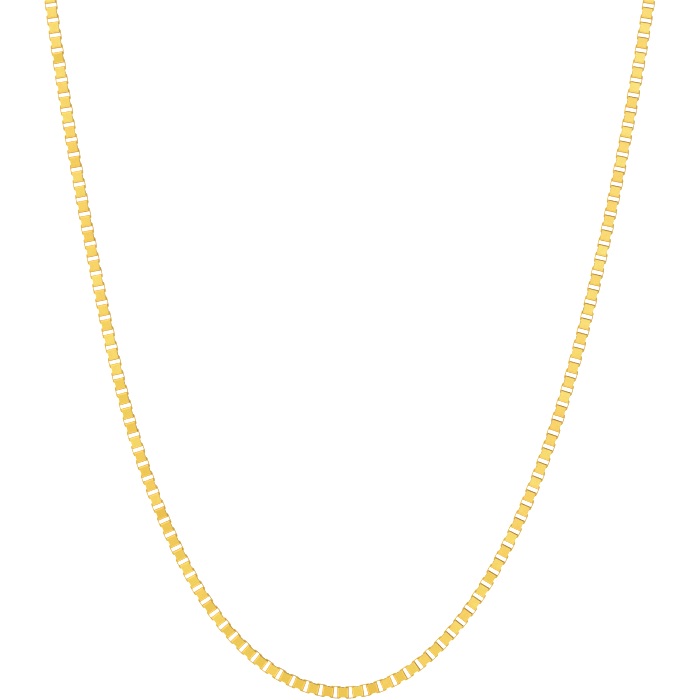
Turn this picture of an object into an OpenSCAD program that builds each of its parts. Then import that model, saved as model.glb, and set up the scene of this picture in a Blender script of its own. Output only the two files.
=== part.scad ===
// Box chain necklace, shown as worn.
// Each link is a square ring folded from flat strip, turned a quarter about the link before it.
// The front hangs free in an upright plane. The hidden back bends over the collar and goes
// round the neck to a plain barrel clasp at the nape.
// +Z is up and the front of the necklace faces -Y. The origin is the place on the underside
// of the clasp that rests on the nape.

/* [Link] */
// Length of a link along the chain, outside
link_len = 1.96; // [1.9:0.01:2.3]
// Width of the flat strip that a link is folded from
strip_w = 1.64; // [1.4:0.02:1.9]
// Thickness of the strip
strip_t = 0.2; // [0.16:0.01:0.24]
// Inside radius of a fold in the strip
fold_r = 0.12; // [0.08:0.01:0.18]
// Play along the chain where two links hook
end_play = 0.26; // [0.2:0.01:0.34]
// Play on each side of a link inside the next one
side_play = 0.13; // [0.13:0.01:0.2]

/* [Front] */
// Radius of the curve at the lowest link
hang_r = 19.4; // [18:0.1:26]
// Height of the free hanging front above its lowest link
hang_h = 122; // [100:1:135]

/* [Neck] */
// Radius of the bend over the collar
collar_r = 20; // [18:1:30]
// Turn of the chain in the bend over the collar, in degrees
collar_turn = 70; // [50:1:80]
// Reach of the neck loop behind its widest place, along the chain's own surface
neck_reach = 92.8; // [70:0.1:110]
// Gap where the plain stretch round the neck meets a link
meet_gap = 0.3; // [0.2:0.05:0.4]

/* [Clasp] */
// Length of the clasp's barrel
barrel_len = 9; // [7:0.5:14]
// Diameter of the clasp's barrel
barrel_d = 3.6; // [3.2:0.1:5]
// Rounding of the barrel's ends
barrel_round = 0.7; // [0.3:0.1:1]
// Width of the groove where the two halves of the barrel meet
groove_w = 0.4; // [0.2:0.1:0.8]
// Depth of that groove
groove_d = 0.2; // [0.1:0.05:0.4]
// Distance of an eye's centre beyond the end of the barrel
eye_out = 0.2; // [0.1:0.05:0.4]

/* [Hidden] */

GOLD = "#F2C75C";
FOLD_FN = 16;
BARREL_FN = 48;
TUBE_SIDES = 8;
TUBE_STEPS = 30;
FINE_STEPS = 120;
RAD = 180 / PI;

// Outside width of a link, and the distance from one link to the next
link_span = strip_w + 2 * (strip_t + side_play);
pitch = link_len - 2 * strip_t - end_play;

// The front is a catenary. Its arc length s from the lowest link gives place and slope.
function hang_x(s) = hang_r * ln(s / hang_r + sqrt(1 + pow(s / hang_r, 2)));
function hang_v(s) = sqrt(pow(s, 2) + pow(hang_r, 2)) - hang_r;
function hang_slope(s) = atan2(s, hang_r);

// Whole links in each half of the front, and where the plain stretch starts after the last
front_half = floor(sqrt(pow(hang_h + hang_r, 2) - pow(hang_r, 2)) / pitch);
front_s = front_half * pitch + link_len / 2 + meet_gap;
front_x = hang_x(front_s);
front_v = hang_v(front_s);
front_tan = front_s / hang_r;

// The loop round the neck is an ellipse that leaves the front along its own tangent.
// Its angle is 0 at the widest place and 90 at the nape.
loop_x = front_x * sqrt((1 + sqrt(1 + pow(2 * neck_reach / (front_x * front_tan), 2))) / 2);
loop_start = -atan(neck_reach / (loop_x * front_tan));
loop_v = front_v - neck_reach * sin(loop_start);
function loop_place(a) = [loop_x * cos(a), loop_v + neck_reach * sin(a)];
function loop_slope(a) = atan2(neck_reach * cos(a), -loop_x * sin(a));
function loop_speed(a) = norm([loop_x * sin(a), neck_reach * cos(a)]) / RAD;

// The chain lies in a surface that is upright in front and bends back over the collar.
// A place on it is [across, along], and the turn of the surface there is worked out below.
bend_run = collar_r * collar_turn / RAD;
function turn_at(v) = min(max((v - front_v) / collar_r * RAD, 0), collar_turn);
function on_body(p) =
    let (t = turn_at(p[1]), past = max(p[1] - front_v - bend_run, 0), below = min(p[1], front_v))
    [p[0], collar_r * (1 - cos(t)) + past * sin(t), below + collar_r * sin(t) + past * cos(t)];
function out_of_body(v) = [0, -cos(turn_at(v)), sin(turn_at(v))];
function along_body(q, v) = [cos(q), sin(q) * sin(turn_at(v)), sin(q) * cos(turn_at(v))];

// The eyes of the clasp are the last links of the chain, sunk into the ends of the barrel
eye_x = barrel_len / 2 + eye_out;
eye_angle = acos(eye_x / loop_x);
clasp_v = loop_place(eye_angle)[1];
nape = on_body([0, clasp_v]) - out_of_body(clasp_v) * barrel_d / 2;

// The count of links that the real chain has from the front to an eye says how the eye is turned
fine_step = (eye_angle - loop_start) / FINE_STEPS;
fine_runs = [for (i = [1:FINE_STEPS]) loop_speed(loop_start + (i - 0.5) * fine_step) * fine_step];
loop_run = fine_runs * [for (run = fine_runs) 1];
hidden_links = round((meet_gap + link_len / 2 + loop_run) / pitch);
eye_flat = (front_half + hidden_links) % 2 != 0;

// The plain stretch is one tube on each side, from the last link of the front to the eye
tube_end = eye_angle - (link_len / 2 + meet_gap) / loop_speed(eye_angle);
tube_r = link_span / 2 / cos(180 / TUBE_SIDES);
tube_angles = [for (i = [0:TUBE_STEPS]) loop_start + (tube_end - loop_start) * i / TUBE_STEPS];

function tube_ring(a) =
    let (p = loop_place(a), n = out_of_body(p[1]), w = cross(along_body(loop_slope(a), p[1]), n))
    [for (k = [0:TUBE_SIDES - 1])
        let (q = (k + 0.5) * 360 / TUBE_SIDES) on_body(p) + tube_r * (cos(q) * n + sin(q) * w)];

// One square ring of strip, with its length along X and its span along Y
module rounded(size, r) {
    square([size[0], size[1] - 2 * r], center = true);
    square([size[0] - 2 * r, size[1]], center = true);
    for (x = [-1, 1], y = [-1, 1])
        translate([x * (size[0] / 2 - r), y * (size[1] / 2 - r)])
            circle(r, $fn = FOLD_FN);
}

module link() {
    linear_extrude(strip_w, center = true)
        difference() {
            rounded([link_len, link_span], fold_r + strip_t);
            rounded([link_len - 2 * strip_t, link_span - 2 * strip_t], fold_r);
        }
}

// A link at a place on the surface, along the slope q. A flat one shows its strip to the
// front, and the others show their opening.
module link_at(p, q, flat) {
    translate(on_body(p))
        rotate([-turn_at(p[1]), 0, 0])
            rotate([90, 0, 0])
                rotate([0, 0, q])
                    rotate([flat ? 90 : 0, 0, 0])
                        link();
}

module chain_back_half() {
    rings = [for (a = tube_angles) tube_ring(a)];
    last = len(rings) - 1;
    sides = [for (i = [0:last - 1], k = [0:TUBE_SIDES - 1])
        let (m = (k + 1) % TUBE_SIDES, r = i * TUBE_SIDES, s = r + TUBE_SIDES)
        [r + k, s + k, s + m, r + m]];
    first_cap = [for (k = [0:TUBE_SIDES - 1]) k];
    last_cap = [for (k = [TUBE_SIDES - 1:-1:0]) last * TUBE_SIDES + k];
    polyhedron([for (ring = rings, point = ring) point], concat([first_cap, last_cap], sides));
}

module chain_front() {
    color(GOLD)
        translate(-nape)
            for (i = [-front_half:front_half])
                let (s = i * pitch)
                    link_at([hang_x(s), hang_v(s)], hang_slope(s), i % 2 != 0);
}

module chain_back() {
    color(GOLD)
        translate(-nape) {
            chain_back_half();
            mirror([1, 0, 0])
                chain_back_half();
        }
}

module barrel() {
    rotate([0, 90, 0])
        rotate_extrude($fn = BARREL_FN)
            difference() {
                union() {
                    translate([0, -barrel_len / 2 + barrel_round])
                        square([barrel_d / 2, barrel_len - 2 * barrel_round]);
                    translate([0, -barrel_len / 2])
                        square([barrel_d / 2 - barrel_round, barrel_len]);
                    for (y = [-1, 1])
                        translate([barrel_d / 2 - barrel_round, y * (barrel_len / 2 - barrel_round)])
                            circle(barrel_round, $fn = BARREL_FN);
                }
                translate([barrel_d / 2 - groove_d, -groove_w / 2])
                    square([barrel_d, groove_w]);
            }
}

module clasp() {
    color(GOLD)
        translate(-nape) {
            translate(on_body([0, clasp_v]))
                barrel();
            for (side = [0, 1])
                mirror([side, 0, 0])
                    link_at(loop_place(eye_angle), loop_slope(eye_angle), eye_flat);
        }
}

chain_front();
chain_back();
clasp();
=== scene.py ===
"""Box chain necklace in polished yellow gold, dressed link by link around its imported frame."""
import logging
import math
import random
from dataclasses import dataclass, field
from enum import Enum

import bmesh
import bpy
from mathutils import Matrix, Vector


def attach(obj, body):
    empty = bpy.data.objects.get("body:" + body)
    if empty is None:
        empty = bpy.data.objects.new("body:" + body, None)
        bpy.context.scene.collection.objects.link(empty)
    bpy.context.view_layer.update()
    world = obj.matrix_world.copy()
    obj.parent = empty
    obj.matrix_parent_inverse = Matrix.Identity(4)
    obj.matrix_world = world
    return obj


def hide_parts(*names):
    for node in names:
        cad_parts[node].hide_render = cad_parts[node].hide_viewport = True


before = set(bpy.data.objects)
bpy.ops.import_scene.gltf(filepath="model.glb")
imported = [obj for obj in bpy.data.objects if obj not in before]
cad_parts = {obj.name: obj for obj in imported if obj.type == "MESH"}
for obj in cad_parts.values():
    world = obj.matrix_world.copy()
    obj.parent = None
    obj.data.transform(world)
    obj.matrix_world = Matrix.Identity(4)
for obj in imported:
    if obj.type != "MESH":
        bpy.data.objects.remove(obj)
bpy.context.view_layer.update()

LOG = logging.getLogger("box_chain")
MM = 0.001
BODY = "root"

# Attributes that the gold reads: the tone of each link, and which faces are cut sides
LINK_TONE = "link_tone"
CUT_EDGE = "cut_edge"

# Sockets of a mix node by number, since several of them share a name
MIX_SHARE = 0
VALUE_A, VALUE_B = 2, 3
COLOUR_A, COLOUR_B = 6, 7
COLOUR_OUT = 2

# A face whose normal has this share along Z is a cut side, and two faces whose shares differ
# by less than the second number lean alike
CUT_SIDE_SHARE = 0.9
LEAN_STEP = 0.2

# Shading follows the larger of two faces, unless their areas differ by less than this
AREA_WEIGHT = 100
SAME_AREA = 0.03 * MM ** 2

# Points closer than this are one point
MERGE_DISTANCE = 1e-7

# A slanting direction along which no two faces of the barrel lie level
SORTING_LINE = Vector((1.0, 0.137, 0.0419))

# A point, the direction of the chain there and the direction away from the wearer
Place = tuple[Vector, Vector, Vector]


class Turn(Enum):
    """Which way a link's opening looks: the links alternate along the chain."""

    OPEN = 0
    FLAT = 1

    @staticmethod
    def of_link(index: int) -> "Turn":
        """The turn of the link at a place counted from the lowest link, which is open."""
        return Turn(index % 2)


# Where a link sits and which way its opening looks
Spot = tuple[Place, Turn]


def linear_colour(code: str) -> tuple[float, float, float, float]:
    """Turns an sRGB hex colour into the linear values that shaders take.

    Args:
        code: The colour as "#RRGGBB".

    Returns:
        Linear red, green and blue, and a full alpha.
    """
    shares = [int(code[i:i + 2], 16) / 255 for i in (1, 3, 5)]
    linear = [c / 12.92 if c <= 0.04045 else ((c + 0.055) / 1.055) ** 2.4 for c in shares]
    return (linear[0], linear[1], linear[2], 1.0)


def add_node(tree: bpy.types.NodeTree, kind: str, settings: dict | None = None,
             links: dict | None = None) -> bpy.types.Node:
    """Adds one node, sets it up and links its inputs.

    Args:
        tree: The node tree that gets the node.
        kind: The node's type name.
        settings: Values by name of a property of the node, or by name or number of an input.
        links: Output sockets by name or number of the input that each one feeds.

    Returns:
        The new node.
    """
    node = tree.nodes.new(kind)
    for name, value in (settings or {}).items():
        if isinstance(name, str) and hasattr(node, name):
            setattr(node, name, value)
        else:
            node.inputs[name].default_value = value
    for name, socket in (links or {}).items():
        tree.links.new(socket, node.inputs[name])
    return node


@dataclass(frozen=True)
class PolishedGold:
    """Yellow gold strip, rolled, folded and tumbled until it shines.

    The mirror stays a little soft, with hairlines from the tumbling and a faint difference in
    colour from link to link.
    """

    name: str
    colour: str = "#F6D969"
    deep_colour: str = "#F4C050"
    # Darker colour of the cut sides: painted shade, while their dullness comes from cut_roughness
    cut_shaded_colour: str = "#E3B955"
    roughness_low: float = 0.09
    roughness_high: float = 0.16
    cut_roughness: float = 0.38
    cloud_mm: float = 0.9
    cloud_detail: float = 3.0
    cloud_low: float = 0.3
    cloud_high: float = 0.7
    cloud_depth: float = 0.55
    # Real hairlines are about 0.01 mm wide, too fine to show, so they are drawn wider
    hairline_mm: float = 0.05
    hairline_stretch: float = 6.0
    hairline_detail: float = 2.0
    hairline_depth_mm: float = 0.0001

    def material(self) -> bpy.types.Material:
        """Builds the material.

        Returns:
            The gold, patterned on Object coordinates and on each link's own tone.
        """
        # Rolling and tumbling leave a nearly sharp mirror with soft clouds of deeper yellow.
        # The strip's cut sides were sheared, not rolled, so they are dull; their darker colour is
        # painted shade, standing in for the dark reflections along the links' sides.
        gold = bpy.data.materials.new(self.name)
        gold.use_nodes = True
        tree = gold.node_tree
        tree.nodes.clear()
        where = add_node(tree, "ShaderNodeTexCoord")
        tone = add_node(tree, "ShaderNodeAttribute", {"attribute_name": LINK_TONE})
        cut = add_node(tree, "ShaderNodeAttribute", {"attribute_name": CUT_EDGE})
        clouds = add_node(tree, "ShaderNodeTexNoise",
                          {"Scale": 1 / (self.cloud_mm * MM), "Detail": self.cloud_detail},
                          {"Vector": where.outputs["Object"]})
        drawn = add_node(tree, "ShaderNodeMapping",
                         {"Scale": (1.0, 1.0, 1 / self.hairline_stretch)},
                         {"Vector": where.outputs["Object"]})
        hairlines = add_node(tree, "ShaderNodeTexNoise",
                             {"Scale": 1 / (self.hairline_mm * MM),
                              "Detail": self.hairline_detail},
                             {"Vector": drawn.outputs["Vector"]})
        shade = add_node(tree, "ShaderNodeMath",
                         {"operation": "MULTIPLY_ADD", 1: self.cloud_depth},
                         {0: clouds.outputs["Fac"], 2: tone.outputs["Fac"]})
        face_colour = add_node(tree, "ShaderNodeMix",
                               {"data_type": "RGBA", COLOUR_A: linear_colour(self.colour),
                                COLOUR_B: linear_colour(self.deep_colour)},
                               {MIX_SHARE: shade.outputs[0]})
        colour = add_node(tree, "ShaderNodeMix",
                          {"data_type": "RGBA", COLOUR_B: linear_colour(self.cut_shaded_colour)},
                          {MIX_SHARE: cut.outputs["Fac"],
                           COLOUR_A: face_colour.outputs[COLOUR_OUT]})
        face_rough = add_node(tree, "ShaderNodeMapRange",
                              {"From Min": self.cloud_low, "From Max": self.cloud_high,
                               "To Min": self.roughness_low, "To Max": self.roughness_high},
                              {"Value": clouds.outputs["Fac"]})
        rough = add_node(tree, "ShaderNodeMix",
                         {"data_type": "FLOAT", VALUE_B: self.cut_roughness},
                         {MIX_SHARE: cut.outputs["Fac"], VALUE_A: face_rough.outputs[0]})
        bump = add_node(tree, "ShaderNodeBump", {"Distance": self.hairline_depth_mm * MM},
                        {"Height": hairlines.outputs["Fac"]})
        shader = add_node(tree, "ShaderNodeBsdfPrincipled", {"Metallic": 1.0},
                          {"Base Color": colour.outputs[COLOUR_OUT],
                           "Roughness": rough.outputs[0], "Normal": bump.outputs["Normal"]})
        add_node(tree, "ShaderNodeOutputMaterial", {}, {"Surface": shader.outputs["BSDF"]})
        return gold


@dataclass(frozen=True)
class SeamlessPaper:
    """White background paper off the roll, pressed smooth but not glossy."""

    name: str
    colour: str = "#F3F2F0"
    fibre_colour: str = "#EFEEEC"
    roughness_low: float = 0.86
    roughness_high: float = 0.94
    fibre_mm: float = 3.0
    fibre_detail: float = 4.0

    def material(self) -> bpy.types.Material:
        """Builds the material.

        Returns:
            The paper, patterned on Object coordinates.
        """
        # Paper scatters light evenly, and its fibres lie a little thicker in some places
        paper = bpy.data.materials.new(self.name)
        paper.use_nodes = True
        tree = paper.node_tree
        tree.nodes.clear()
        where = add_node(tree, "ShaderNodeTexCoord")
        fibres = add_node(tree, "ShaderNodeTexNoise",
                          {"Scale": 1 / (self.fibre_mm * MM), "Detail": self.fibre_detail},
                          {"Vector": where.outputs["Object"]})
        colour = add_node(tree, "ShaderNodeMix",
                          {"data_type": "RGBA", COLOUR_A: linear_colour(self.colour),
                           COLOUR_B: linear_colour(self.fibre_colour)},
                          {MIX_SHARE: fibres.outputs["Fac"]})
        rough = add_node(tree, "ShaderNodeMapRange",
                         {"To Min": self.roughness_low, "To Max": self.roughness_high},
                         {"Value": fibres.outputs["Fac"]})
        shader = add_node(tree, "ShaderNodeBsdfPrincipled", {},
                          {"Base Color": colour.outputs[COLOUR_OUT],
                           "Roughness": rough.outputs[0]})
        add_node(tree, "ShaderNodeOutputMaterial", {}, {"Surface": shader.outputs["BSDF"]})
        return paper


@dataclass
class Route:
    """The way of the chain's middle line, from the lowest link up each side to the nape.

    The front is a catenary in an upright plane. The loop behind it is an ellipse laid in a
    surface that bends back over the collar. Lengths are in metres, and the frame's origin is
    under the clasp at the nape.
    """

    hang_radius: float = 19.4 * MM
    front_end: float = 140.38 * MM
    collar_radius: float = 20.0 * MM
    collar_turn: float = math.radians(70.0)
    neck_reach: float = 92.8 * MM
    # How far the front lies inside its ideal curve: a place, as a share of front_end from the
    # lowest point, and a distance in mm
    sway: tuple[tuple[float, float], ...] = (
        (-1.0, 0.0), (-0.65, 0.38), (-0.40, 0.0), (-0.25, 0.08), (-0.05, 0.36), (0.05, 0.10),
        (0.20, 0.32), (0.50, 0.14), (1.0, 0.0))
    eye_x: float = 4.7 * MM
    clasp_radius: float = 1.8 * MM
    slope_step: float = 0.2 * MM
    steps: int = 60
    front_x: float = field(init=False)
    front_v: float = field(init=False)
    loop_x: float = field(init=False)
    loop_start: float = field(init=False)
    loop_v: float = field(init=False)
    eye_angle: float = field(init=False)
    loop_run: float = field(init=False)
    nape: Vector = field(init=False)

    def __post_init__(self) -> None:
        """Works out where the loop leaves the front, its width and the nape."""
        slope = self.front_end / self.hang_radius
        self.front_x = self.hang_radius * math.asinh(slope)
        self.front_v = math.hypot(self.front_end, self.hang_radius) - self.hang_radius
        ratio = 2 * self.neck_reach / (self.front_x * slope)
        self.loop_x = self.front_x * math.sqrt((1 + math.hypot(1, ratio)) / 2)
        self.loop_start = -math.atan(self.neck_reach / (self.loop_x * slope))
        self.loop_v = self.front_v - self.neck_reach * math.sin(self.loop_start)
        self.eye_angle = math.acos(self.eye_x / self.loop_x)
        self.loop_run = self._run_to(self.eye_angle)
        clasp_v = self.loop_v + self.neck_reach * math.sin(self.eye_angle)
        # Points are measured from the nape, so it starts at zero while it is looked for
        self.nape = Vector()
        self.nape = self.on_body(0.0, clasp_v) - self.outward(clasp_v) * self.clasp_radius

    def _run_to(self, angle: float) -> float:
        """Sums the loop over short steps.

        Args:
            angle: Where on the ellipse to stop.

        Returns:
            Length of the loop from its start to the angle.
        """
        step = (angle - self.loop_start) / self.steps
        middles = (self.loop_start + (i + 0.5) * step for i in range(self.steps))
        return sum(self._speed(a) for a in middles) * step

    def _speed(self, angle: float) -> float:
        """Length of the loop for each radian of its angle."""
        return math.hypot(self.loop_x * math.sin(angle), self.neck_reach * math.cos(angle))

    def turn_at(self, v: float) -> float:
        """Angle by which the surface has bent back at a height along it."""
        return min(max((v - self.front_v) / self.collar_radius, 0.0), self.collar_turn)

    def on_body(self, x: float, v: float) -> Vector:
        """Lays a point of the flat pattern on the bent surface.

        Args:
            x: Distance across.
            v: Distance along the surface, up from the lowest link.

        Returns:
            The point in the frame.
        """
        turn = self.turn_at(v)
        past = max(v - self.front_v - self.collar_radius * self.collar_turn, 0.0)
        back = self.collar_radius * (1 - math.cos(turn)) + past * math.sin(turn)
        up = min(v, self.front_v) + self.collar_radius * math.sin(turn) + past * math.cos(turn)
        return Vector((x, back, up)) - self.nape

    def outward(self, v: float) -> Vector:
        """The direction that faces away from the wearer at a height along the surface."""
        turn = self.turn_at(v)
        return Vector((0.0, -math.cos(turn), math.sin(turn)))

    def _along(self, dx: float, dv: float, v: float) -> Vector:
        """A direction of the flat pattern, laid on the surface."""
        turn = self.turn_at(v)
        return Vector((dx, dv * math.sin(turn), dv * math.cos(turn))).normalized()

    def _swayed(self, s: float) -> float:
        """Eases between the places of the sway, since links don't hang quite true.

        Args:
            s: Length along the chain from the lowest point, below zero on the left.

        Returns:
            How far the chain lies inside its ideal curve.
        """
        share = max(-1.0, min(s / self.front_end, 1.0))
        for (low, start), (high, end) in zip(self.sway, self.sway[1:]):
            if share <= high:
                ease = (1 - math.cos(math.pi * (share - low) / (high - low))) / 2
                return (start + (end - start) * ease) * MM
        return 0.0

    def _front_point(self, s: float) -> Vector:
        """Finds a point of the swayed catenary in its own upright plane.

        Args:
            s: Length along the chain from the lowest point, below zero on the left.

        Returns:
            The point, across and up from the lowest one.
        """
        a = self.hang_radius
        inward = Vector((-s, a)).normalized() * self._swayed(s)
        return Vector((a * math.asinh(s / a), math.hypot(s, a) - a)) + inward

    def front_place(self, s: float) -> Place:
        """Finds a place on the front.

        Args:
            s: Length along the chain from the lowest point, below zero on the left.

        Returns:
            The point, the direction of the chain and the outward direction.
        """
        here = self._front_point(s)
        way = self._front_point(s + self.slope_step) - self._front_point(s - self.slope_step)
        return self.on_body(*here), self._along(*way, here.y), self.outward(here.y)

    def loop_places(self, runs: list[float]) -> list[Place]:
        """Walks up the right half of the loop.

        Args:
            runs: Lengths along the chain from the loop's start, in rising order.

        Returns:
            For each length the point, the direction of the chain and the outward direction.
        """
        places: list[Place] = []
        angle, run = self.loop_start, 0.0
        for wanted in runs:
            hop = (wanted - run) / self.steps
            for _ in range(self.steps):
                angle += hop / self._speed(angle + hop / self._speed(angle) / 2)
            run = wanted
            v = self.loop_v + self.neck_reach * math.sin(angle)
            along = self._along(-self.loop_x * math.sin(angle),
                                self.neck_reach * math.cos(angle), v)
            places.append((self.on_body(self.loop_x * math.cos(angle), v), along,
                           self.outward(v)))
        return places


def mirrored(place: Place) -> Place:
    """Takes a place over to the left half, with the chain still running left to right.

    Args:
        place: Point, direction of the chain and outward direction on the right half.

    Returns:
        The same place on the left half.
    """
    point, along, out = place
    return (Vector((-point.x, point.y, point.z)), Vector((along.x, -along.y, -along.z)),
            out.copy())


@dataclass
class BoxLink:
    """One link: flat strip folded into a square ring.

    Its length lies along X, its span along Y and the width of the strip along Z.
    """

    length: float = 2.05 * MM
    span: float = 2.21 * MM
    strip_width: float = 1.70 * MM
    strip_thickness: float = 0.22 * MM
    fold_radius: float = 0.34 * MM
    fold_segments: int = 2
    edge_bevel: float = 0.05 * MM

    def mesh(self, name: str) -> bpy.types.Mesh:
        """Folds the ring.

        Args:
            name: Name of the mesh.

        Returns:
            A closed mesh of the link about the origin.
        """
        bm = bmesh.new()
        bmesh.ops.create_cube(bm, size=1.0)
        bmesh.ops.scale(bm, vec=(self.length, self.span, self.strip_width), verts=bm.verts)
        folds = [e for e in bm.edges if abs(e.verts[0].co.z - e.verts[1].co.z) > self.strip_width / 2]
        bmesh.ops.bevel(bm, geom=folds, offset=self.fold_radius, segments=self.fold_segments,
                        affect="EDGES", profile=0.5, material=-1)
        rims = [f for f in bm.faces if self._is_cut_side(f)]
        bmesh.ops.inset_region(bm, faces=rims, thickness=self.strip_thickness,
                               use_even_offset=True)
        inner = [e for f in rims for e in f.edges]
        bmesh.ops.delete(bm, geom=rims, context="FACES_ONLY")
        bmesh.ops.bridge_loops(bm, edges=inner)
        bmesh.ops.recalc_face_normals(bm, faces=bm.faces)
        rim_edges = [e for e in bm.edges if self._is_rim(e)]
        bmesh.ops.bevel(bm, geom=rim_edges, offset=self.edge_bevel, segments=1,
                        affect="EDGES", profile=0.5, material=-1)
        cut = bm.faces.layers.float.new(CUT_EDGE)
        for face in bm.faces:
            face.smooth = True
            face[cut] = float(self._is_cut_side(face))
        for edge in bm.edges:
            edge.smooth = self._leans_alike(edge)
        mesh = bpy.data.meshes.new(name)
        bm.to_mesh(mesh)
        bm.free()
        return mesh

    @staticmethod
    def _is_cut_side(face: bmesh.types.BMFace) -> bool:
        """Tells if a face belongs to one of the strip's cut sides, which look along Z."""
        return abs(face.normal.z) > CUT_SIDE_SHARE

    def _is_rim(self, edge: bmesh.types.BMEdge) -> bool:
        """Finds the outside of the ring, where the strip meets its cut side.

        Args:
            edge: An edge of the ring.

        Returns:
            True if the edge runs there.
        """
        cut_sides = [f for f in edge.link_faces if self._is_cut_side(f)]
        outside = [f for f in edge.link_faces if f.normal.dot(f.calc_center_median()) > 0]
        return len(cut_sides) == 1 and len(outside) == 2

    @staticmethod
    def _leans_alike(edge: bmesh.types.BMEdge) -> bool:
        """Tells if the two faces of an edge belong to one side of the strip or to one bevel."""
        one, other = (f.normal.z for f in edge.link_faces)
        return abs(one - other) < LEAN_STEP

    def matrix(self, place: Place, turn: Turn) -> Matrix:
        """Works out the move that brings a link to its place.

        Args:
            place: Point, direction of the chain and outward direction.
            turn: Which way the opening looks.

        Returns:
            The link's matrix in the frame.
        """
        point, along, out = place
        side = out.cross(along).normalized()
        span, width = (side, out) if turn is Turn.OPEN else (out, -side)
        turned = Matrix((along, span, width)).transposed().to_4x4()
        return Matrix.Translation(point) @ turned


def lay(bm: bmesh.types.BMesh, pattern: bpy.types.Mesh, move: Matrix) -> list[bmesh.types.BMVert]:
    """Adds a moved copy of a mesh to a BMesh that has lost no element, so new ones come last.

    Args:
        bm: The BMesh that gets the copy.
        pattern: The mesh to copy.
        move: Where the copy goes.

    Returns:
        The vertices of the copy.
    """
    first = len(bm.verts)
    bm.from_mesh(pattern)
    bm.verts.ensure_lookup_table()
    new = bm.verts[first:]
    bmesh.ops.transform(bm, matrix=move, verts=new)
    return new


def dressed(name: str, mesh: bpy.types.Mesh, finish: PolishedGold) -> bpy.types.Object:
    """Makes the object of a mesh, gives it its material and lets its large faces look flat.

    Args:
        name: Name of the piece.
        mesh: The mesh, already in place.
        finish: The finish of the whole piece.

    Returns:
        The object, at the origin.
    """
    piece = bpy.data.objects.new(name, mesh)
    bpy.context.scene.collection.objects.link(piece)
    known = bpy.data.materials.get(finish.name)
    mesh.materials.append(known or finish.material())
    evened = piece.modifiers.new("even_shading", "WEIGHTED_NORMAL")
    evened.keep_sharp = True
    evened.weight = AREA_WEIGHT
    evened.thresh = SAME_AREA
    return piece


@dataclass
class LinkRun:
    """A stretch of chain: many links joined in one mesh, each rocked a little in the next."""

    name: str
    link: BoxLink
    finish: PolishedGold
    seed: int
    tone_low: float = -0.2
    tone_high: float = 0.3
    rock_degrees: float = 0.7
    odd_share: float = 0.05
    odd_degrees: float = 1.8

    def build(self, spots: list[Spot]) -> bpy.types.Object:
        """Joins the links.

        Args:
            spots: Place and turn of each link.

        Returns:
            The finished piece.
        """
        pattern = self.link.mesh(self.name + "_pattern")
        rng = random.Random(self.seed)
        bm = bmesh.new()
        tone = bm.verts.layers.float.new(LINK_TONE)
        for place, turn in spots:
            new = lay(bm, pattern, self.link.matrix(place, turn) @ self._rock(rng))
            shade = rng.uniform(self.tone_low, self.tone_high)
            for vert in new:
                vert[tone] = shade
        mesh = bpy.data.meshes.new(self.name)
        bm.to_mesh(mesh)
        bm.free()
        bpy.data.meshes.remove(pattern)
        return dressed(self.name, mesh, self.finish)

    def _rock(self, rng: random.Random) -> Matrix:
        """Turns a link a little about each axis, now and then more, as in a real chain.

        Args:
            rng: Where the chance comes from.

        Returns:
            The turn. Most are within rock_degrees, and the odd ones within odd_degrees.
        """
        size = self.odd_degrees if rng.random() < self.odd_share else self.rock_degrees
        turn = Matrix.Identity(4)
        for axis in "XYZ":
            turn @= Matrix.Rotation(math.radians(rng.gauss(0.0, size / 2)), 4, axis)
        return turn


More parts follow.
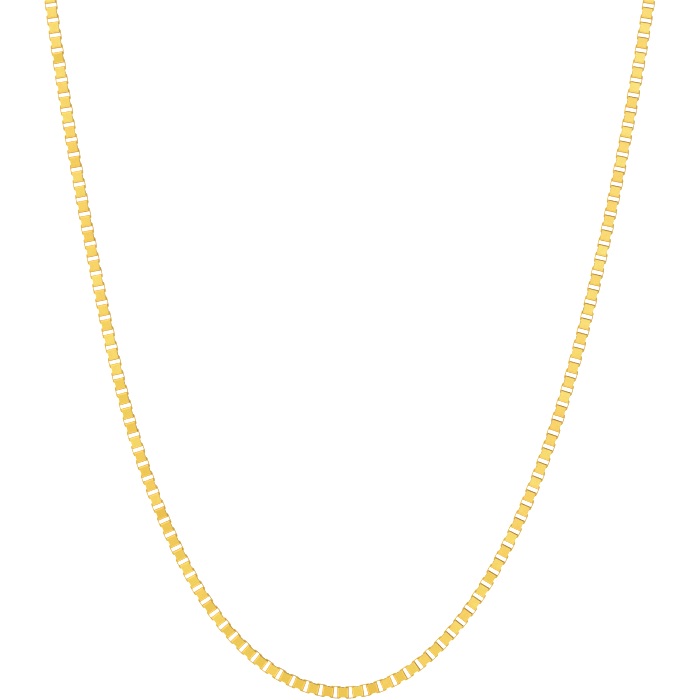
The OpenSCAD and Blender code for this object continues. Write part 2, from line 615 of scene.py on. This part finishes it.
@dataclass
class BarrelClasp:
    """The clasp at the nape: a plain barrel, round ended, with a link soldered on each end."""

    route: Route
    link: BoxLink
    finish: PolishedGold
    name: str = "barrel_clasp"
    length: float = 9.0 * MM
    end_round: float = 0.7 * MM
    end_steps: int = 6
    groove_width: float = 0.4 * MM
    groove_depth: float = 0.2 * MM
    groove_straight: float = 0.7
    lip_bevel: float = 0.04 * MM
    segments: int = 48

    def build(self, eyes: list[Spot]) -> bpy.types.Object:
        """Turns the barrel and sets an eye into each end.

        Args:
            eyes: Place and turn of the two eyes.

        Returns:
            The finished piece.
        """
        barrel, eye = self._barrel_mesh(), self.link.mesh(self.name + "_eye")
        middle = self.route.outward(self.route.loop_v) * self.route.clasp_radius
        bm = bmesh.new()
        lay(bm, barrel, Matrix.Translation(middle))
        for place, turn in eyes:
            lay(bm, eye, self.link.matrix(place, turn))
        for pattern in (barrel, eye):
            bpy.data.meshes.remove(pattern)
        mesh = bpy.data.meshes.new(self.name)
        bm.to_mesh(mesh)
        bm.free()
        return dressed(self.name, mesh, self.finish)

    def _outline(self) -> list[tuple[float, float]]:
        """Draws half the barrel's outline, from its middle groove to the end of its axis.

        Returns:
            Distances along the axis and away from it.
        """
        half, r = self.length / 2, self.route.clasp_radius
        lip, floor = self.groove_width / 2, r - self.groove_depth
        outline = [(0.0, floor), (lip * self.groove_straight, floor),
                   (lip, r - self.groove_depth * self.groove_straight), (lip, r - self.lip_bevel),
                   (lip + self.lip_bevel, r)]
        for i in range(self.end_steps + 1):
            turn = math.radians(90 * i / self.end_steps)
            outline.append((half - self.end_round + self.end_round * math.sin(turn),
                            r - self.end_round + self.end_round * math.cos(turn)))
        outline.append((half, 0.0))
        return outline

    def _barrel_mesh(self) -> bpy.types.Mesh:
        """Spins the outline about the X axis and mirrors the half barrel.

        Returns:
            A closed mesh of the barrel about the origin.
        """
        bm = bmesh.new()
        verts = [bm.verts.new((x, 0.0, y)) for x, y in self._outline()]
        edges = [bm.edges.new(pair) for pair in zip(verts, verts[1:])]
        bmesh.ops.spin(bm, geom=verts + edges, cent=(0, 0, 0), axis=(1, 0, 0),
                       angle=math.tau, steps=self.segments, use_merge=True, use_duplicate=False)
        half_barrel = bm.verts[:] + bm.edges[:] + bm.faces[:]
        bmesh.ops.mirror(bm, geom=half_barrel, axis="X", merge_dist=MERGE_DISTANCE)
        bmesh.ops.remove_doubles(bm, verts=bm.verts, dist=MERGE_DISTANCE)
        bmesh.ops.recalc_face_normals(bm, faces=bm.faces)
        # The spin makes its faces in no fixed order, so each run sorts them along one line
        bm.faces.sort(key=lambda face: face.calc_center_median().dot(SORTING_LINE))
        for face in bm.faces:
            face.smooth = True
        mesh = bpy.data.meshes.new(self.name + "_barrel")
        bm.to_mesh(mesh)
        bm.free()
        return mesh


@dataclass
class BoxChain:
    """The whole chain: its links in order from the left eye of the clasp to the right one."""

    route: Route
    link: BoxLink
    gold: PolishedGold
    pitch: float = 1.30 * MM
    slip: float = -0.54 * MM
    front_half: int = 107
    eye_index: int = 211
    front_seed: int = 11
    neck_seed: int = 23

    def neck_spots(self, slip: float) -> list[Spot]:
        """Spaces the links of the right half of the loop, from the one after the front.

        Args:
            slip: How far the front's links have slid towards this half.

        Returns:
            Place and turn of each link, with the eye last.
        """
        last = self.front_half * self.pitch + slip - self.route.front_end
        hidden = self.eye_index - self.front_half
        step = (self.route.loop_run - last) / hidden
        places = self.route.loop_places([last + step * i for i in range(1, hidden + 1)])
        turns = [Turn.of_link(self.front_half + i) for i in range(1, hidden + 1)]
        return list(zip(places, turns))

    def build(self) -> dict[str, bpy.types.Object]:
        """Builds the two stretches of chain and the clasp.

        Returns:
            The pieces by the name of the node that each one replaces.
        """
        front = [(self.route.front_place(i * self.pitch + self.slip), Turn.of_link(i))
                 for i in range(-self.front_half, self.front_half + 1)]
        right = self.neck_spots(self.slip)
        left = [(mirrored(place), turn) for place, turn in reversed(self.neck_spots(-self.slip))]
        front_run = LinkRun("front_links", self.link, self.gold, self.front_seed)
        neck_run = LinkRun("neck_links", self.link, self.gold, self.neck_seed)
        clasp = BarrelClasp(self.route, self.link, self.gold)
        return {"chain_front": front_run.build(front),
                "chain_back": neck_run.build(left[1:] + right[:-1]),
                "clasp": clasp.build([left[0], right[-1]])}


@dataclass(frozen=True)
class Panel:
    """A round, soft-edged panel hung in the tent, brighter or darker than its walls.

    Bearing runs from the picture's right towards the back, and height from the horizon up.
    These and the two half-angles, of the full panel and of its soft edge, are in degrees.
    """

    bearing: float
    height: float
    inner: float
    outer: float
    level: float

    def hung(self, tree: bpy.types.NodeTree, way: bpy.types.NodeSocket,
             level: bpy.types.NodeSocket) -> bpy.types.NodeSocket:
        """Hangs the panel in front of what is there.

        Args:
            tree: The world's nodes.
            way: The direction that a ray looks in.
            level: Brightness without the panel.

        Returns:
            Brightness with it.
        """
        turn, rise = math.radians(self.bearing), math.radians(self.height)
        middle = (math.cos(turn) * math.cos(rise), math.sin(turn) * math.cos(rise), math.sin(rise))
        near = add_node(tree, "ShaderNodeVectorMath", {"operation": "DOT_PRODUCT", 1: middle},
                        {0: way})
        share = add_node(tree, "ShaderNodeMapRange",
                         {"interpolation_type": "SMOOTHSTEP",
                          "From Min": math.cos(math.radians(self.outer)),
                          "From Max": math.cos(math.radians(self.inner)),
                          "To Min": 1.0, "To Max": self.level}, {"Value": near.outputs["Value"]})
        hung = add_node(tree, "ShaderNodeMath", {"operation": "MULTIPLY"},
                        {0: share.outputs[0], 1: level})
        return hung.outputs[0]


@dataclass
class Studio:
    """A white tent with a pale floor below, and the long lens that sees the front straight on.

    The angles of the tent's walls are in degrees, the lens and its sensor in millimetres, and
    the camera's roll in radians.
    """

    route: Route
    pixels: float = 700.0
    pixels_per_mm: float = 5.8077
    sensor: float = 36.0
    lens: float = 300.0
    lowest_pixel: tuple[float, float] = (338.60, 693.47)
    roll: float = 0.0152
    nearest_seen: float = 0.01
    farthest_seen: float = 20.0
    floor_z: float = -0.50
    floor_radius: float = 5.0
    floor_sides: int = 96
    paper: SeamlessPaper = SeamlessPaper("seamless_white_paper")
    softbox_size: float = 1.0
    softbox_place: tuple[float, float, float] = (0.2, 0.8, 1.4)
    softbox_radiance: float = 1.6
    glow: float = 1.5
    plain_wall: float = 1.18
    low_wall: float = 0.85
    high_wall: float = 1.59
    front_inner: float = 14.0
    front_outer: float = 32.0
    white: str = "#FFFFFF"
    warm_white: str = "#FFF8CF"
    cool_white: str = "#D4DCFF"
    fade_start: float = -6.0
    fade_end: float = 3.0
    fade_lean: float = 37.0
    panels: tuple[Panel, ...] = (
        Panel(bearing=-30, height=52, inner=26, outer=34, level=0.15),
        Panel(bearing=0, height=0, inner=15, outer=38, level=0.35),
        Panel(bearing=0, height=-90, inner=10, outer=25, level=0.3),
    )

    def camera(self) -> bpy.types.Object:
        """Sets up the camera so that the lowest link falls on its pixel.

        Returns:
            The camera.
        """
        right = (self.lowest_pixel[0] - self.pixels / 2) / self.pixels_per_mm * MM
        up = (self.pixels / 2 - self.lowest_pixel[1]) / self.pixels_per_mm * MM
        cos, sin = math.cos(self.roll), math.sin(self.roll)
        across, along = right * cos - up * sin, right * sin + up * cos
        lowest = self.route.on_body(0.0, 0.0)
        away = self.pixels / self.sensor * self.lens / self.pixels_per_mm * MM
        data = bpy.data.cameras.new("front_camera")
        data.sensor_width, data.lens = self.sensor, self.lens
        data.clip_start, data.clip_end = self.nearest_seen, self.farthest_seen
        camera = bpy.data.objects.new("front_camera", data)
        camera.matrix_world = (
            Matrix.Translation((lowest.x - across, lowest.y - away, lowest.z - along))
            @ Matrix.Rotation(math.radians(90), 4, "X") @ Matrix.Rotation(self.roll, 4, "Z"))
        bpy.context.scene.collection.objects.link(camera)
        bpy.context.scene.camera = camera
        return camera

    def floor(self) -> bpy.types.Object:
        """Lays the pale floor, which the gold doesn't mirror.

        Returns:
            The floor.
        """
        bm = bmesh.new()
        bmesh.ops.create_circle(bm, cap_ends=True, segments=self.floor_sides,
                                radius=self.floor_radius)
        bmesh.ops.translate(bm, vec=(0, 0, self.floor_z), verts=bm.verts)
        mesh = bpy.data.meshes.new("floor")
        bm.to_mesh(mesh)
        bm.free()
        mesh.materials.append(self.paper.material())
        floor = bpy.data.objects.new("floor", mesh)
        bpy.context.scene.collection.objects.link(floor)
        floor.visible_glossy = False
        return floor

    def softbox(self) -> bpy.types.Object:
        """Hangs a softbox above and behind the chain, clear of what its front reflects.

        Returns:
            The light.
        """
        data = bpy.data.lights.new("softbox", "AREA")
        data.size = self.softbox_size
        data.energy = self.softbox_radiance * math.pi * self.softbox_size ** 2
        light = bpy.data.objects.new("softbox", data)
        place = Vector(self.softbox_place)
        light.matrix_world = (Matrix.Translation(place)
                              @ place.to_track_quat("Z", "Y").to_matrix().to_4x4())
        light.visible_camera = False
        bpy.context.scene.collection.objects.link(light)
        return light

    def light(self) -> None:
        """Lights the scene with the tent's white walls and its panels.

        The camera itself sees plain glowing white in their place.
        """
        world = bpy.data.worlds.new("white_tent")
        bpy.context.scene.world = world
        world.use_nodes = True
        tree = world.node_tree
        tree.nodes.clear()
        way = add_node(tree, "ShaderNodeTexCoord").outputs["Generated"]
        level, colour = self.walls(tree, way)
        for panel in self.panels:
            level = panel.hung(tree, way, level)
        tent = add_node(tree, "ShaderNodeBackground", {}, {"Color": colour, "Strength": level})
        seen = add_node(tree, "ShaderNodeBackground",
                        {"Color": linear_colour(self.white), "Strength": self.glow})
        path = add_node(tree, "ShaderNodeLightPath")
        mix = add_node(tree, "ShaderNodeMixShader", {},
                       {0: path.outputs["Is Camera Ray"], 1: tent.outputs[0], 2: seen.outputs[0]})
        add_node(tree, "ShaderNodeOutputWorld", {}, {"Surface": mix.outputs[0]})
        bpy.context.scene.view_settings.view_transform = "Standard"

    def walls(self, tree: bpy.types.NodeTree,
              way: bpy.types.NodeSocket) -> tuple[bpy.types.NodeSocket, bpy.types.NodeSocket]:
        """Paints the walls plain white, but the front one darker and warmer towards the floor.

        Args:
            tree: The world's nodes.
            way: The direction that a ray looks in.

        Returns:
            The walls' brightness and colour.
        """
        lean = math.radians(self.fade_lean)
        rise = add_node(tree, "ShaderNodeVectorMath",
                        {"operation": "DOT_PRODUCT", 1: (math.sin(lean), 0.0, math.cos(lean))},
                        {0: way})
        height = add_node(tree, "ShaderNodeMapRange",
                          {"interpolation_type": "SMOOTHSTEP",
                           "From Min": math.sin(math.radians(self.fade_start)),
                           "From Max": math.sin(math.radians(self.fade_end))},
                          {"Value": rise.outputs["Value"]})
        parts = add_node(tree, "ShaderNodeSeparateXYZ", {}, {"Vector": way})
        ahead = add_node(tree, "ShaderNodeMapRange",
                         {"interpolation_type": "SMOOTHSTEP",
                          "From Min": -math.cos(math.radians(self.front_outer)),
                          "From Max": -math.cos(math.radians(self.front_inner))},
                         {"Value": parts.outputs["Y"]})
        front_level = add_node(tree, "ShaderNodeMapRange",
                               {"To Min": self.low_wall, "To Max": self.high_wall},
                               {"Value": height.outputs[0]})
        level = add_node(tree, "ShaderNodeMix",
                         {"data_type": "FLOAT", VALUE_A: self.plain_wall},
                         {MIX_SHARE: ahead.outputs[0], VALUE_B: front_level.outputs[0]})
        tint = add_node(tree, "ShaderNodeMix",
                        {"data_type": "RGBA", COLOUR_A: linear_colour(self.warm_white),
                         COLOUR_B: linear_colour(self.cool_white)},
                        {MIX_SHARE: height.outputs[0]})
        colour = add_node(tree, "ShaderNodeMix",
                          {"data_type": "RGBA", COLOUR_A: linear_colour(self.white)},
                          {MIX_SHARE: ahead.outputs[0], COLOUR_B: tint.outputs[COLOUR_OUT]})
        return level.outputs[0], colour.outputs[COLOUR_OUT]


def main() -> None:
    """Builds the necklace, ties each piece to the frame and sets up the studio."""
    logging.basicConfig(level=logging.INFO, format="%(name)s: %(message)s")
    route = Route()
    studio = Studio(route)
    studio.camera()
    chain = BoxChain(route, BoxLink(), PolishedGold("polished_yellow_gold"))
    for node, piece in chain.build().items():
        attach(piece, BODY)
        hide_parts(node)
        LOG.info("%s: %d faces for %s", piece.name, len(piece.data.polygons), node)
    studio.floor()
    studio.softbox()
    studio.light()


if __name__ == "__main__":
    main()
